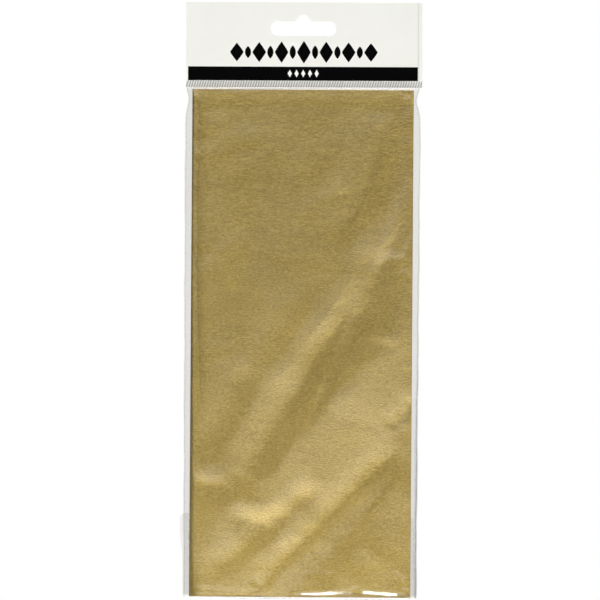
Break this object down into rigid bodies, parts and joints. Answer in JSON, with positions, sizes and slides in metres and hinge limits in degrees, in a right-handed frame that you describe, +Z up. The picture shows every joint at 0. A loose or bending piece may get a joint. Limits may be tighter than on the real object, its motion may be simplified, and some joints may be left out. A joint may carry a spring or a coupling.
{
  "type": "gift tissue paper pack",
  "caption": "Flat hanging pack of folded metallic gift tissue sheets in a clear film bag with a sealed white header and a closing flap.",
  "frame": {"origin": "top of the hump of the hang slot, where a peg bears, midway between the header's leaves", "axes": "+X to the right seen from the front, +Y from front to back, +Z up towards the header"},
  "size_m": [0.1182, 0.0037, 0.2931],
  "materials": {
    "white_film": "satin white film with a printed black band",
    "sealed_film": "ribbed heat seal",
    "clear_film": "thin glossy clear film",
    "adhesive": "tacky clear strip",
    "gold_tissue": "metallic gold satin"
  },
  "bodies": {
    "header": {"header_film": "white_film", "crimp_seal": "sealed_film"},
    "bag": {"front_panel": "clear_film", "back_panel": "clear_film", "left_side_weld": "clear_film", "right_side_weld": "clear_film", "tissue_sheet_1": "gold_tissue", "tissue_sheet_2": "gold_tissue", "tissue_sheet_3": "gold_tissue", "tissue_sheet_4": "gold_tissue", "tissue_sheet_5": "gold_tissue", "tissue_sheet_6": "gold_tissue"},
    "bottom": {"bottom_fold": "clear_film"},
    "flap": {"closing_flap": "clear_film", "flap_adhesive": "adhesive"}
  },
  "joints": [
    {"name": "neck_bend", "type": "hinge", "parent": "header", "child": "bag", "pos_m": [0, 0, -0.036], "axis": [1, 0, 0], "range_deg": [-90, 90]},
    {"name": "bottom_open", "type": "hinge", "parent": "bag", "child": "bottom", "pos_m": [-0.00066, -0.00174, -0.28669], "axis": [-1, 0, 0.0026], "range_deg": [0, 90]},
    {"name": "flap_open", "type": "hinge", "parent": "bottom", "child": "flap", "pos_m": [-0.00066, 0.00198, -0.28669], "axis": [-1, 0, 0.0026], "range_deg": [0, 90]}
  ]
}
